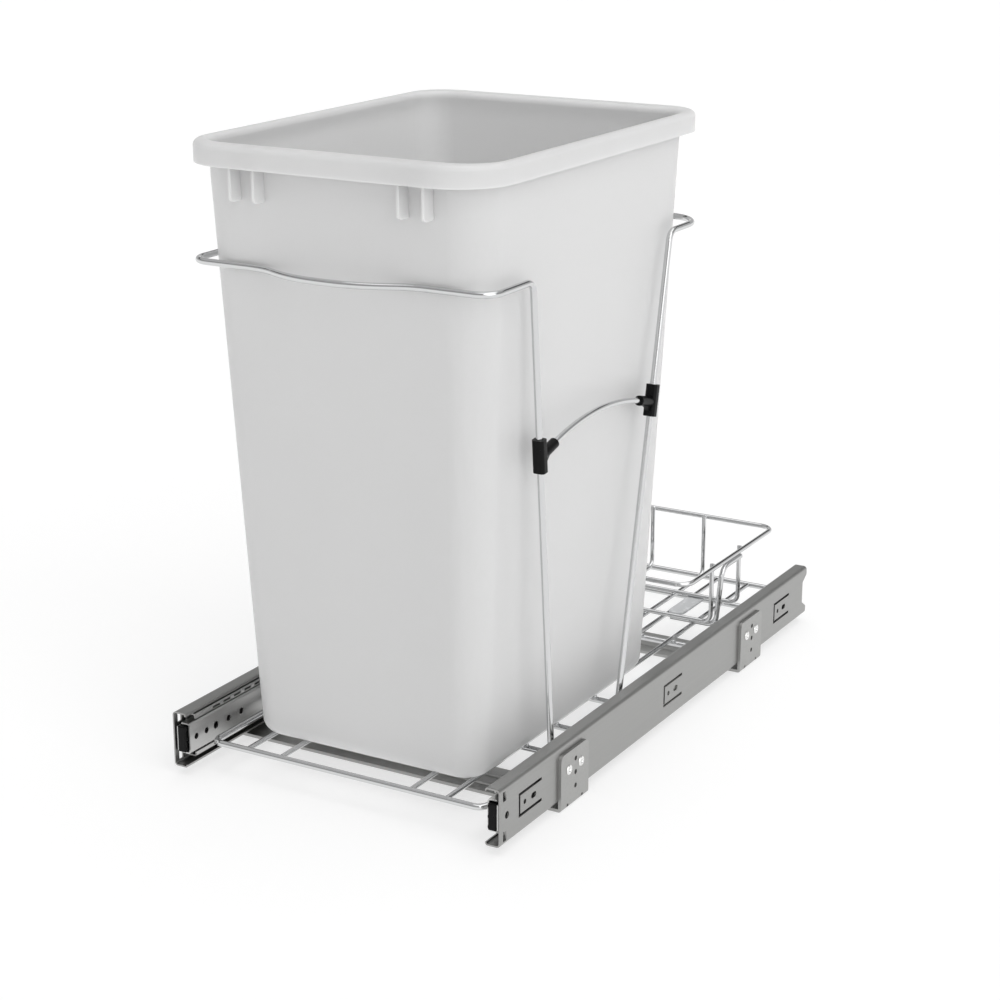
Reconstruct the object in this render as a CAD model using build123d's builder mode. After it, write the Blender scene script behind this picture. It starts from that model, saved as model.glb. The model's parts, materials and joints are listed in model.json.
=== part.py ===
from build123d import *
from math import asin, degrees
import os

# Pull-out waste container: one bin in a wire carriage on two telescopic slides.
# X runs across the cabinet, -Y points to the user, Z is up.
# The origin is on the cabinet floor, under the middle of the slides. Sizes are in millimetres.

os.makedirs("parts", exist_ok=True)

# --- Slides: outer (cabinet), middle and inner (carriage) rails ---
RAIL_LENGTH = 559.0
RAIL_HEIGHT = 45.0
RAIL_BOTTOM_Z = 7.0
SLIDES_WIDTH = 290.5  # over the outer faces of both slides
RAIL_SHEET = 1.2
HALF_WIDTH = SLIDES_WIDTH / 2
HALF_LENGTH = RAIL_LENGTH / 2
RAIL_MID_Z = RAIL_BOTTOM_Z + RAIL_HEIGHT / 2
MEMBER_REAR_Y = 261.0  # the middle and inner rails end here, against the rear stops

# Depth into the slide is counted from its outer face, height from its middle line.
OUTER_TIP_DEPTH = 12.4
OUTER_LIP = 2.6
OUTER_BENDS = (3.0, 2.0)  # outside radius at the web and at the lip
MIDDLE_HALF_HEIGHT = 17.8
MIDDLE_WEB_DEPTH = 2.4
MIDDLE_TIP_DEPTH = 11.8
MIDDLE_LIP = 4.1
MIDDLE_BENDS = (2.4, 1.8)
MIDDLE_FRONT_Y = -267.0
INNER_HALF_HEIGHT = 12.6
INNER_FLANGE_DEPTH = 4.8
INNER_WEB_DEPTH = 11.5
INNER_BEND = 2.4
INNER_FRONT_Y = -275.4
INNER_FACE_X = HALF_WIDTH - INNER_WEB_DEPTH - RAIL_SHEET

WINDOW_PITCH = 13.7
WINDOW_COUNT = 36
WINDOW_LENGTH = 9.0
WINDOW_HEIGHT = 1.8
WINDOW_OFFSET = 15.3

TAB_FRONT_YS = (-252.5, -16.0, 205.5)
TAB_LENGTH = 34.0
TAB_HEIGHT = 19.0
TAB_SLOT = 2.3
TAB_HOLE = (9.0, 1.9)  # distance from the tab's front end, radius
TAB_OBLONG = (22.0, 7.5, 4.4)  # distance from the tab's front end, length, width

OUTER_END_HOLE = (-269.5, 2.8)  # Y, radius
OUTER_END_SLOT_Y = -272.8
OUTER_END_SLOT_OFFSET = 15.6
OUTER_END_SLOT_SIZE = (4.6, 7.6)
REAR_NOTCH = ((280, 14), (271, 20), (271, 39), (280, 45), (281, 45), (281, 14))
MIDDLE_HOLE_YS = (-243.5, 226.0)
MIDDLE_HOLE_RADIUS = 3.0
MIDDLE_TONGUE = (11.0, 10.0)  # length, half height
INNER_SMALL_HOLE_YS = (-267.4, -254.5, -226.1, -209.2, 209.2, 238.0, 252.0)
INNER_SMALL_HOLE_RADIUS = 2.5
INNER_LARGE_HOLE_YS = (-242.4, 226.0)
INNER_LARGE_HOLE_RADIUS = 3.0

# --- Rear stops and nose bumpers: depth range, half height, length along Y ---
STOP_DEPTHS = (RAIL_SHEET + 0.05, 11.0)
STOP_HALF_HEIGHT = 15.5
STOP_LENGTH = 8.0
STOP_FRONT_Y = 261.5
BUMPER_DEPTHS = (MIDDLE_WEB_DEPTH + RAIL_SHEET + 0.05, 10.4)
BUMPER_HALF_HEIGHT = 10.4
BUMPER_LENGTH = 17.0
BUMPER_REAR_Y = -262.0
BUMPER_BEAD = (8.0, 8.7, 2.2)  # pitch, depth, radius

# --- Ball cages and balls ---
CAGE_LENGTH = 230.0
CAGE_WEB = 0.4
CAGE_FLANGE = 0.6
CAGE_TIP_DEPTH = 10.2
BALLS_PER_ROW = 6
BALL_PITCH = 40.0
BALL_CLEARANCE = 0.1
OUTER_CAGE_DEPTH = 1.5
OUTER_BALL_RADIUS = 1.7
OUTER_BALL_OFFSET = 19.55
OUTER_BALL_DEPTH = 6.5
INNER_CAGE_DEPTH = 3.95
INNER_BALL_RADIUS = 1.95
INNER_BALL_OFFSET = 14.6
INNER_BALL_DEPTH = 7.4

# --- Floor brackets ---
BRACKET_SHEET = 2.5
BRACKET_WIDTH = 43.5
BRACKET_CENTRE_YS = (-171.5, 151.5)
EAR_GAP = 0.05
EAR_HEIGHT = 44.9
EAR_OUTER_X = HALF_WIDTH + EAR_GAP + BRACKET_SHEET
RIB_WIDTH = 6.0
RIB_HEIGHT = 1.4
RIB_LENGTH = 236.0
RIB_OFFSET = 8.0
FLOOR_HOLE_X = 105.0
FLOOR_HOLE_RADIUS = 2.7
RIVET_OFFSET = 9.4
RIVET_Z = 30.5
RIVET_SHANK_RADIUS = 2.4
RIVET_HEAD_RADIUS = 4.0
RIVET_HEAD_HEIGHT = 0.9
EAR_CORNER = 5.0
EAR_BEND = 2.4
EAR_HOLE_ZS = (14.0, 25.0, 36.0)
EAR_HOLE_RADIUS = 1.9
NOTCH_SIZE = (1.6, 2.4)
NOTCH_OFFSET = 11.5

# --- Wire carriage ---
HEAVY_WIRE = 5.0
FLOOR_WIRE = 4.0
SIDE_WIRE = 4.4
BASE_Z = 25.2
BASE_HALF_WIDTH = 121.0
BASE_FRONT_Y = -261.5
BASE_REAR_Y = HALF_LENGTH - HEAVY_WIRE / 2
BASE_CORNER = 8.0
FLOOR_WIRE_XS = (58.2, 89.0)
FLOOR_WIRE_Z = 25.2
CROSS_BAR_Z = BASE_Z - HEAVY_WIRE - 0.1
CROSS_BAR_YS = (-141.0, -92.5, -28.0, 118.0, 232.0)

HOOP_Z = 401.7
LEG_X = BASE_HALF_WIDTH + HEAVY_WIRE + 0.1
LEG_FOOT_Z = 22.0
HOOP_BEND = 9.0
FRONT_HOOP_Y = -258.0
FRONT_ARM_Y = -200.3
FRONT_FOOT_Y = -168.1
FRONT_HOOP_CORNER = 14.0
BOW_Y = -275.3
BOW_END_X = 62.0
BOW_PEAK_X = 28.0
BOW_END_BEND = 55.0
BOW_PEAK_BEND = 97.0
REAR_HOOP_Y = 76.5
REAR_ARM_Y = 16.4
REAR_FOOT_Y = -62.6
REAR_HOOP_CORNER = 28.0

# --- T clips and the wires between them ---
CLIP_Z = 273.0
CLIP_HEIGHT = 25.0
CLIP_WIDTH = 9.6
CLIP_DEPTH = 8.4
CLIP_CORNER = 2.6
CLIP_WEB_HALF = 1.6
STUB_RADIUS = 4.0
STUB_LENGTH = 22.0
SOCKET_DEPTH = 10.0
SOCKET_WIRE = 8.0  # how far the side wire reaches into its socket
SIDE_ARC_FRONT_Y = -168.0
SIDE_ARC_REAR_Y = -32.0
SIDE_ARC_END_Z = 277.5
SIDE_ARC_RISE = 8.8

# --- Rear basket ---
BASKET_WIRE = 3.8
RING_WIRE = 4.2
RING_Z = 90.0
RING_HALF_WIDTH = 119.2
RING_FRONT_Y = 79.0
RING_REAR_Y = 260.5
RING_CORNER = 12.0
BASKET_TOP_Z = 91.5
BASKET_BEND = 8.0
BASKET_CROSS_YS = (137.5, 194.0)
BASKET_LONG_Z = 34.0
BASKET_LONG_XS = (-52.0, 0.0, 52.0)
HANGER_WIRE = 4.6
HANGER_RUN = ((119.4, 187.0, 85.2), (119.4, 150.0, 85.2), (114.0, 150.5, 31.2), (71.0, 150.5, 31.2))
HANGER_BEND = 9.0
PLATE_CENTRE = (74.0, 177.5)
PLATE_SIZE = (56.0, 15.0)
PLATE_BOTTOM_Z = 33.6
PLATE_THICKNESS = 2.2

# --- Bin ---
BIN_FLOOR_Z = 27.5
BIN_TOP_Z = 489.9
BIN_FOOT_HALF_WIDTH = 100.4
BIN_FOOT_FRONT_Y = -237.0
BIN_FOOT_REAR_Y = 48.5
BIN_FOOT_CORNERS = (21.5, 25.0)  # front, rear
BIN_HEAD_HALF_WIDTH = 121.6
BIN_HEAD_FRONT_Y = -259.2
BIN_HEAD_REAR_Y = 60.8
BIN_HEAD_CORNERS = (30.0, 26.0)
BIN_WALL = 2.2
BIN_FLOOR = 2.6
BIN_FOOT_ROUND = 12.5
MOUTH_ROUND = 5.0
NECK_ROUND = 3.0  # outside the wall under the land, so the moulding stays about 2.5 mm thick
RIM_HALF_WIDTH = 129.0
RIM_FRONT_Y = -275.0
RIM_REAR_Y = 76.3
RIM_CORNERS = (43.0, 33.0)
RIM_HEIGHT = 15.8
RIM_THICKNESS = 2.4
RIM_ROUND = 4.2
GUSSET_XS = (-80.0, -60.0, 60.0, 80.0)
GUSSET_THICKNESS = 2.0
GUSSET_BOTTOM_Z = 449.5
GUSSET_FRONT_Y = -270.3
GUSSET_REAR_Y = -256.5
GUSSET_CORNER = 4.0


def save(piece, name):
    """Label a finished piece and write it as its own STEP file."""
    piece.part.label = name
    export_step(piece.part, f"parts/{name}.step")


def save_pair(right, name):
    """Write a right-hand piece and its mirror image on the left."""
    save(right, f"{name}_right")
    with BuildPart() as left:
        mirror(right.part, about=Plane.YZ)
    save(left, f"{name}_left")


def bar(depths, heights):
    """One flat strip of a right-hand slide's section, inside a sketch on the XZ plane."""
    centre_x = HALF_WIDTH - (depths[0] + depths[1]) / 2
    centre_z = RAIL_MID_Z + (heights[0] + heights[1]) / 2
    with Locations((centre_x, centre_z)):
        Rectangle(depths[1] - depths[0], heights[1] - heights[0])


def channel(web_depth, tip_depth, half_height, lip, sheet):
    """A lipped C section that opens towards the middle of the part."""
    bar((web_depth, web_depth + sheet), (-half_height, half_height))
    for side in (-1, 1):
        bar((web_depth, tip_depth), sorted((side * half_height, side * (half_height - sheet))))
        bar((tip_depth - sheet, tip_depth), sorted((side * half_height, side * (half_height - lip))))


def round_corners(section, depth, height, radius):
    """Round both corners of a right-hand slide's section at this depth and height."""
    found = [v for v in section.vertices()
             if abs(v.X - HALF_WIDTH + depth) < 0.01 and abs(abs(v.Y - RAIL_MID_Z) - height) < 0.01]
    fillet(found, radius)


def round_channel(section, web_depth, tip_depth, half_height, bends):
    """Round the bends of a lipped C section, inside and outside."""
    round_corners(section, web_depth, half_height, bends[0])
    round_corners(section, web_depth + RAIL_SHEET, half_height - RAIL_SHEET, bends[0] - RAIL_SHEET)
    round_corners(section, tip_depth, half_height, bends[1])
    round_corners(section, tip_depth - RAIL_SHEET, half_height - RAIL_SHEET, bends[1] - RAIL_SHEET)


def bent_wire(points, radii, diameter, close=False):
    """Round wire along straight runs joined by bends."""
    with BuildPart() as wire:
        with BuildLine() as path:
            FilletPolyline(*points, radius=radii, close=close)
        with BuildSketch(Plane(path.line @ 0, z_dir=path.line % 0)):
            Circle(diameter / 2)
        sweep()
    return wire.part


def straight_wire(start, end, diameter):
    """Round wire along one straight run."""
    with BuildPart() as wire:
        with BuildSketch(Plane(start, z_dir=Vector(*end) - Vector(*start))):
            Circle(diameter / 2)
        extrude(amount=(Vector(*end) - Vector(*start)).length)
    return wire.part


def mirrored_in_x(points):
    """The same points on the other side of the middle plane, in reverse order."""
    return [(-x, y, z) for x, y, z in reversed(points)]


# ---------------------------------------------------------------- outer rails
with BuildPart() as outer_rail:
    with BuildSketch(Plane.XZ.offset(-HALF_LENGTH)) as outer_section:
        channel(0, OUTER_TIP_DEPTH, RAIL_HEIGHT / 2, OUTER_LIP, RAIL_SHEET)
        round_channel(outer_section, 0, OUTER_TIP_DEPTH, RAIL_HEIGHT / 2, OUTER_BENDS)
    extrude(amount=RAIL_LENGTH)
    # lanced tabs: a C cut open to the rear, with a round hole and an oblong one
    with BuildSketch(Plane.YZ.offset(HALF_WIDTH)):
        for tab_y in TAB_FRONT_YS:
            with Locations((tab_y + TAB_SLOT / 2, RAIL_MID_Z)):
                Rectangle(TAB_SLOT, TAB_HEIGHT)
            for side in (-1, 1):
                with Locations((tab_y + TAB_LENGTH / 2, RAIL_MID_Z + side * (TAB_HEIGHT - TAB_SLOT) / 2)):
                    Rectangle(TAB_LENGTH, TAB_SLOT)
            with Locations((tab_y + TAB_HOLE[0], RAIL_MID_Z)):
                Circle(TAB_HOLE[1])
            with Locations((tab_y + TAB_OBLONG[0], RAIL_MID_Z)):
                SlotOverall(TAB_OBLONG[1], TAB_OBLONG[2])
        # end holes
        with Locations(*[(OUTER_END_SLOT_Y, RAIL_MID_Z + s * OUTER_END_SLOT_OFFSET) for s in (-1, 1)]):
            Rectangle(*OUTER_END_SLOT_SIZE)
        with Locations((OUTER_END_HOLE[0], RAIL_MID_Z)):
            Circle(OUTER_END_HOLE[1])
        # rear end cut back between the flanges
        with BuildLine():
            Polyline(*REAR_NOTCH, close=True)
        make_face()
        # rivets to the bracket ears
        with Locations(*[(y + s * RIVET_OFFSET, RIVET_Z) for y in BRACKET_CENTRE_YS for s in (-1, 1)]):
            Circle(RIVET_SHANK_RADIUS + 0.05)
    extrude(amount=-(RAIL_SHEET + 0.4), mode=Mode.SUBTRACT)
save_pair(outer_rail, "outer_rail")

# ---------------------------------------------------------------- rear stops on the outer rails
with BuildPart() as rear_stops:
    with BuildSketch(Plane.XZ.offset(-STOP_FRONT_Y - STOP_LENGTH)):
        bar(STOP_DEPTHS, (-STOP_HALF_HEIGHT, STOP_HALF_HEIGHT))
    extrude(amount=STOP_LENGTH)
    fillet(rear_stops.edges().filter_by(Axis.Y), 1.5)
    mirror(about=Plane.YZ)
save(rear_stops, "rear_stops")

# ---------------------------------------------------------------- middle rails
with BuildPart() as middle_rail:
    with BuildSketch(Plane.XZ.offset(-MEMBER_REAR_Y)) as middle_section:
        channel(MIDDLE_WEB_DEPTH, MIDDLE_TIP_DEPTH, MIDDLE_HALF_HEIGHT, MIDDLE_LIP, RAIL_SHEET)
        round_channel(middle_section, MIDDLE_WEB_DEPTH, MIDDLE_TIP_DEPTH, MIDDLE_HALF_HEIGHT, MIDDLE_BENDS)
    extrude(amount=MEMBER_REAR_Y - MIDDLE_FRONT_Y)
    # tongue that carries the nose bumper
    with BuildSketch(Plane.XZ.offset(-MIDDLE_FRONT_Y)):
        bar((MIDDLE_WEB_DEPTH, MIDDLE_WEB_DEPTH + RAIL_SHEET), (-MIDDLE_TONGUE[1], MIDDLE_TONGUE[1]))
    extrude(amount=MIDDLE_TONGUE[0])
    # row of windows in both lips
    with BuildSketch(Plane.YZ.offset(HALF_WIDTH - MIDDLE_TIP_DEPTH - 0.2)):
        with Locations((0, RAIL_MID_Z)):
            with GridLocations(WINDOW_PITCH, 2 * WINDOW_OFFSET, WINDOW_COUNT, 2):
                Rectangle(WINDOW_LENGTH, WINDOW_HEIGHT)
    extrude(amount=RAIL_SHEET + 0.4, mode=Mode.SUBTRACT)
    # clearance holes in the web, in line with the holes in the outer rail's tabs
    with BuildSketch(Plane.YZ.offset(HALF_WIDTH - MIDDLE_WEB_DEPTH)):
        with Locations(*[(y, RAIL_MID_Z) for y in MIDDLE_HOLE_YS]):
            Circle(MIDDLE_HOLE_RADIUS)
    extrude(amount=-(RAIL_SHEET + 0.2), mode=Mode.SUBTRACT)
save_pair(middle_rail, "middle_rail")

# ---------------------------------------------------------------- nose bumpers of the middle rails
with BuildPart() as nose_bumpers:
    with BuildSketch(Plane.XZ.offset(-BUMPER_REAR_Y)):
        bar(BUMPER_DEPTHS, (-BUMPER_HALF_HEIGHT, BUMPER_HALF_HEIGHT))
        with Locations((HALF_WIDTH - BUMPER_BEAD[1], RAIL_MID_Z)):
            with GridLocations(1, BUMPER_BEAD[0], 1, 3):
                Circle(BUMPER_BEAD[2])
    extrude(amount=BUMPER_LENGTH)
    fillet(nose_bumpers.faces().sort_by(Axis.Y)[0].edges(), 0.8)
    mirror(about=Plane.YZ)
save(nose_bumpers, "nose_bumpers")

# ---------------------------------------------------------------- inner rails
with BuildPart() as inner_rail:
    with BuildSketch(Plane.XZ.offset(-MEMBER_REAR_Y)) as inner_section:
        bar((INNER_WEB_DEPTH, INNER_WEB_DEPTH + RAIL_SHEET), (-INNER_HALF_HEIGHT, INNER_HALF_HEIGHT))
        for low, high in ((-INNER_HALF_HEIGHT, RAIL_SHEET - INNER_HALF_HEIGHT),
                          (INNER_HALF_HEIGHT - RAIL_SHEET, INNER_HALF_HEIGHT)):
            bar((INNER_FLANGE_DEPTH, INNER_WEB_DEPTH + RAIL_SHEET), (low, high))
        round_corners(inner_section, INNER_WEB_DEPTH + RAIL_SHEET, INNER_HALF_HEIGHT, INNER_BEND)
        round_corners(inner_section, INNER_WEB_DEPTH, INNER_HALF_HEIGHT - RAIL_SHEET, INNER_BEND - RAIL_SHEET)
    extrude(amount=MEMBER_REAR_Y - INNER_FRONT_Y)
    # row of round holes near the front and the rear
    with BuildSketch(Plane.YZ.offset(INNER_FACE_X)):
        with Locations(*[(y, RAIL_MID_Z) for y in INNER_SMALL_HOLE_YS]):
            Circle(INNER_SMALL_HOLE_RADIUS)
        with Locations(*[(y, RAIL_MID_Z) for y in INNER_LARGE_HOLE_YS]):
            Circle(INNER_LARGE_HOLE_RADIUS)
    extrude(amount=RAIL_SHEET + 0.2, mode=Mode.SUBTRACT)
save_pair(inner_rail, "inner_rail")


# ---------------------------------------------------------------- ball cages and balls
def ball_cage(web_depth, ball_offset, ball_depth, ball_radius):
    """Thin U strip that spaces two rows of balls in a right-hand slide."""
    half_height = ball_offset + CAGE_FLANGE / 2
    with BuildPart() as cage:
        with BuildSketch(Plane.XZ.offset(-CAGE_LENGTH / 2)):
            bar((web_depth, web_depth + CAGE_WEB), (-half_height, half_height))
            bar((web_depth, CAGE_TIP_DEPTH), (-half_height, CAGE_FLANGE - half_height))
            bar((web_depth, CAGE_TIP_DEPTH), (half_height - CAGE_FLANGE, half_height))
        extrude(amount=CAGE_LENGTH)
        with BuildSketch(Plane.XY):
            with Locations((HALF_WIDTH - ball_depth, 0)):
                with GridLocations(1, BALL_PITCH, 1, BALLS_PER_ROW):
                    Circle(ball_radius + BALL_CLEARANCE)
        extrude(amount=2 * RAIL_HEIGHT, mode=Mode.SUBTRACT)
    return cage


def ball_set(ball_offset, ball_depth, ball_radius):
    """Both rows of balls in both slides."""
    half_row = BALL_PITCH * (BALLS_PER_ROW - 1) / 2
    places = []
    for side in (-1, 1):
        for row in (-1, 1):
            for number in range(BALLS_PER_ROW):
                x = side * (HALF_WIDTH - ball_depth)
                places.append((x, number * BALL_PITCH - half_row, RAIL_MID_Z + row * ball_offset))
    with BuildPart() as balls:
        with Locations(*places):
            Sphere(ball_radius)
    return balls


outer_cage = ball_cage(OUTER_CAGE_DEPTH, OUTER_BALL_OFFSET, OUTER_BALL_DEPTH, OUTER_BALL_RADIUS)
save_pair(outer_cage, "outer_ball_cage")
outer_balls = ball_set(OUTER_BALL_OFFSET, OUTER_BALL_DEPTH, OUTER_BALL_RADIUS)
save(outer_balls, "outer_balls")
inner_cage = ball_cage(INNER_CAGE_DEPTH, INNER_BALL_OFFSET, INNER_BALL_DEPTH, INNER_BALL_RADIUS)
save_pair(inner_cage, "inner_ball_cage")
inner_balls = ball_set(INNER_BALL_OFFSET, INNER_BALL_DEPTH, INNER_BALL_RADIUS)
save(inner_balls, "inner_balls")


# ---------------------------------------------------------------- floor brackets and rivets
def floor_bracket(centre_y):
    """Cross plate with an up-turned ear outside each slide."""
    with BuildPart() as bracket:
        with BuildSketch(Plane.XZ.offset(-(centre_y + BRACKET_WIDTH / 2))) as fold:
            with Locations((0, BRACKET_SHEET / 2)):
                Rectangle(2 * EAR_OUTER_X, BRACKET_SHEET)
            for side in (-1, 1):
                with Locations((side * (EAR_OUTER_X - BRACKET_SHEET / 2), EAR_HEIGHT / 2)):
                    Rectangle(BRACKET_SHEET, EAR_HEIGHT)
            fillet([v for v in fold.vertices() if abs(v.Y) < 0.01], EAR_BEND)
        extrude(amount=BRACKET_WIDTH)
        fillet(bracket.edges().filter_by(Axis.X).group_by(Axis.Z)[-1], EAR_CORNER)
        # stiffening ribs
        with BuildSketch(Plane.XY.offset(BRACKET_SHEET)):
            with Locations((0, centre_y - RIB_OFFSET), (0, centre_y + RIB_OFFSET)):
                SlotOverall(RIB_LENGTH, RIB_WIDTH)
        extrude(amount=RIB_HEIGHT, taper=30)
        # floor screw holes
        with BuildSketch(Plane.XY):
            with Locations((-FLOOR_HOLE_X, centre_y), (FLOOR_HOLE_X, centre_y)):
                Circle(FLOOR_HOLE_RADIUS)
        extrude(amount=BRACKET_SHEET, mode=Mode.SUBTRACT)
        # ear holes: two for the rivets and a column of three small ones
        with BuildSketch(Plane.YZ.offset(-EAR_OUTER_X - 1)):
            with Locations((centre_y - RIVET_OFFSET, RIVET_Z), (centre_y + RIVET_OFFSET, RIVET_Z)):
                Circle(RIVET_SHANK_RADIUS + 0.05)
            with Locations(*[(centre_y + 1, z) for z in EAR_HOLE_ZS]):
                Circle(EAR_HOLE_RADIUS)
        extrude(amount=2 * EAR_OUTER_X + 2, mode=Mode.SUBTRACT)
        # relief notches in the bends
        with BuildSketch(Plane.XY.offset(1.2)):
            for side in (-1, 1):
                for offset_y in (-NOTCH_OFFSET, NOTCH_OFFSET):
                    with Locations((side * (EAR_OUTER_X - 0.6), centre_y + offset_y)):
                        Rectangle(*NOTCH_SIZE)
        extrude(amount=2.4, mode=Mode.SUBTRACT)
    return bracket


save(floor_bracket(BRACKET_CENTRE_YS[0]), "floor_bracket_front")
save(floor_bracket(BRACKET_CENTRE_YS[1]), "floor_bracket_rear")

with BuildPart() as bracket_rivets:
    rivet_places = [(y + s * RIVET_OFFSET, RIVET_Z) for y in BRACKET_CENTRE_YS for s in (-1, 1)]
    with BuildSketch(Plane.YZ.offset(HALF_WIDTH - RAIL_SHEET)):
        with Locations(*rivet_places):
            Circle(RIVET_SHANK_RADIUS)
    extrude(amount=RAIL_SHEET + EAR_GAP + BRACKET_SHEET + 0.05)
    with BuildSketch(Plane.YZ.offset(EAR_OUTER_X + 0.05)):
        with Locations(*rivet_places):
            Circle(RIVET_HEAD_RADIUS)
    extrude(amount=RIVET_HEAD_HEIGHT, taper=20)
    mirror(about=Plane.YZ)
save(bracket_rivets, "bracket_rivets")

# ---------------------------------------------------------------- base of the wire carriage
base_corners = [
    (-BASE_HALF_WIDTH, BASE_FRONT_Y, BASE_Z),
    (BASE_HALF_WIDTH, BASE_FRONT_Y, BASE_Z),
    (BASE_HALF_WIDTH, BASE_REAR_Y, BASE_Z),
    (-BASE_HALF_WIDTH, BASE_REAR_Y, BASE_Z),
]
base_loop = bent_wire(base_corners, BASE_CORNER, HEAVY_WIRE, close=True)
with BuildPart() as base_frame_wire:
    add(base_loop)
save(base_frame_wire, "base_frame_wire")

floor_wire_ends = (BASE_FRONT_Y + HEAVY_WIRE / 2 + 0.05, BASE_REAR_Y - HEAVY_WIRE / 2 - 0.05)
floor_runs = []
for wire_x in FLOOR_WIRE_XS:
    for side in (-1, 1):
        ends = [(side * wire_x, y, FLOOR_WIRE_Z) for y in floor_wire_ends]
        floor_runs.append(straight_wire(ends[0], ends[1], FLOOR_WIRE))
with BuildPart() as base_floor_wires:
    add(floor_runs)
save(base_floor_wires, "base_floor_wires")

bar_end_x = INNER_FACE_X - 0.05
bar_runs = [straight_wire((-bar_end_x, y, CROSS_BAR_Z), (bar_end_x, y, CROSS_BAR_Z), HEAVY_WIRE)
            for y in CROSS_BAR_YS]
with BuildPart() as base_cross_bars:
    add(bar_runs)
save(base_cross_bars, "base_cross_bars")

# ---------------------------------------------------------------- hoops round the bin
front_half = [
    (-LEG_X, FRONT_FOOT_Y, LEG_FOOT_Z),
    (-LEG_X, FRONT_ARM_Y, HOOP_Z),
    (-LEG_X, FRONT_HOOP_Y, HOOP_Z),
    (-BOW_END_X, FRONT_HOOP_Y, HOOP_Z),
    (-BOW_PEAK_X, BOW_Y, HOOP_Z),
]
front_bends = [HOOP_BEND, FRONT_HOOP_CORNER, BOW_END_BEND, BOW_PEAK_BEND]
front_loop = bent_wire(front_half + mirrored_in_x(front_half), front_bends + front_bends[::-1], HEAVY_WIRE)
with BuildPart() as front_hoop:
    add(front_loop)
save(front_hoop, "front_hoop")

rear_half = [
    (-LEG_X, REAR_FOOT_Y, LEG_FOOT_Z),
    (-LEG_X, REAR_ARM_Y, HOOP_Z),
    (-LEG_X, REAR_HOOP_Y, HOOP_Z),
]
rear_bends = [HOOP_BEND, REAR_HOOP_CORNER]
rear_loop = bent_wire(rear_half + mirrored_in_x(rear_half), rear_bends + rear_bends[::-1], HEAVY_WIRE)
with BuildPart() as rear_hoop:
    add(rear_loop)
save(rear_hoop, "rear_hoop")

# ---------------------------------------------------------------- side wires and T clips
side_arc_span = SIDE_ARC_REAR_Y - SIDE_ARC_FRONT_Y
side_arc_radius = (side_arc_span**2 / 4 + SIDE_ARC_RISE**2) / (2 * SIDE_ARC_RISE)
side_arc_slope = asin(side_arc_span / 2 / side_arc_radius)
stub_rise = Vector(0, 1, 0).rotate(Axis.X, degrees(side_arc_slope))
stub_fall = Vector(stub_rise.X, stub_rise.Y, -stub_rise.Z)

with BuildPart() as side_wire:
    with BuildLine() as side_path:
        front_end = Vector(LEG_X, SIDE_ARC_FRONT_Y, SIDE_ARC_END_Z)
        rear_end = Vector(LEG_X, SIDE_ARC_REAR_Y, SIDE_ARC_END_Z)
        top = Vector(LEG_X, (SIDE_ARC_FRONT_Y + SIDE_ARC_REAR_Y) / 2, SIDE_ARC_END_Z + SIDE_ARC_RISE)
        Line(front_end - stub_rise * SOCKET_WIRE, front_end)
        ThreePointArc(front_end, top, rear_end)
        Line(rear_end, rear_end + stub_fall * SOCKET_WIRE)
    with BuildSketch(Plane(side_path.line @ 0, z_dir=side_path.line % 0)):
        Circle(SIDE_WIRE / 2)
    sweep()
save_pair(side_wire, "side_wire")


def tee_clip(foot_y, arm_y, towards):
    """Sleeve on a leg with a stub for the side wire; towards is +1 when the stub points back."""
    leg = Vector(0, arm_y - foot_y, HOOP_Z - LEG_FOOT_Z)
    centre_y = foot_y + leg.Y * (CLIP_Z - LEG_FOOT_Z) / leg.Z
    sleeve_plane = Plane((LEG_X, centre_y, CLIP_Z), x_dir=(1, 0, 0), z_dir=leg)
    stub_tip = Vector(LEG_X, SIDE_ARC_FRONT_Y if towards > 0 else SIDE_ARC_REAR_Y, SIDE_ARC_END_Z)
    stub_dir = stub_rise if towards > 0 else Vector(0, -stub_rise.Y, stub_rise.Z)
    with BuildPart() as clip:
        with BuildSketch(sleeve_plane.offset(-CLIP_HEIGHT / 2)):
            RectangleRounded(CLIP_WIDTH, CLIP_DEPTH, CLIP_CORNER)
        extrude(amount=CLIP_HEIGHT)
        stub_plane = Plane(stub_tip - stub_dir * STUB_LENGTH, x_dir=(1, 0, 0), z_dir=stub_dir)
        with BuildSketch(stub_plane):
            Circle(STUB_RADIUS)
        extrude(amount=STUB_LENGTH)
        # gusset under the stub
        with BuildSketch(Plane.YZ.offset(LEG_X)):
            with BuildLine():
                Polyline((centre_y + towards * 3, CLIP_Z - 11), (centre_y + towards * 3, CLIP_Z),
                         (centre_y + towards * 15, CLIP_Z + 1), close=True)
            make_face()
        extrude(amount=CLIP_WEB_HALF, both=True)
        with BuildSketch(sleeve_plane.offset(-CLIP_HEIGHT)):
            Circle(HEAVY_WIRE / 2 + 0.05)
        extrude(amount=2 * CLIP_HEIGHT, mode=Mode.SUBTRACT)
        with BuildSketch(Plane(stub_tip, x_dir=(1, 0, 0), z_dir=-stub_dir).offset(-1)):
            Circle(SIDE_WIRE / 2 + 0.05)
        extrude(amount=SOCKET_DEPTH + 1, mode=Mode.SUBTRACT)
    return clip


save_pair(tee_clip(FRONT_FOOT_Y, FRONT_ARM_Y, 1), "front_clip")
save_pair(tee_clip(REAR_FOOT_Y, REAR_ARM_Y, -1), "rear_clip")

# ---------------------------------------------------------------- rear basket
ring_corners = [
    (-RING_HALF_WIDTH, RING_FRONT_Y, RING_Z),
    (RING_HALF_WIDTH, RING_FRONT_Y, RING_Z),
    (RING_HALF_WIDTH, RING_REAR_Y, RING_Z),
    (-RING_HALF_WIDTH, RING_REAR_Y, RING_Z),
]
ring_loop = bent_wire(ring_corners, RING_CORNER, RING_WIRE, close=True)
with BuildPart() as basket_ring:
    add(ring_loop)
save(basket_ring, "basket_ring")

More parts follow.
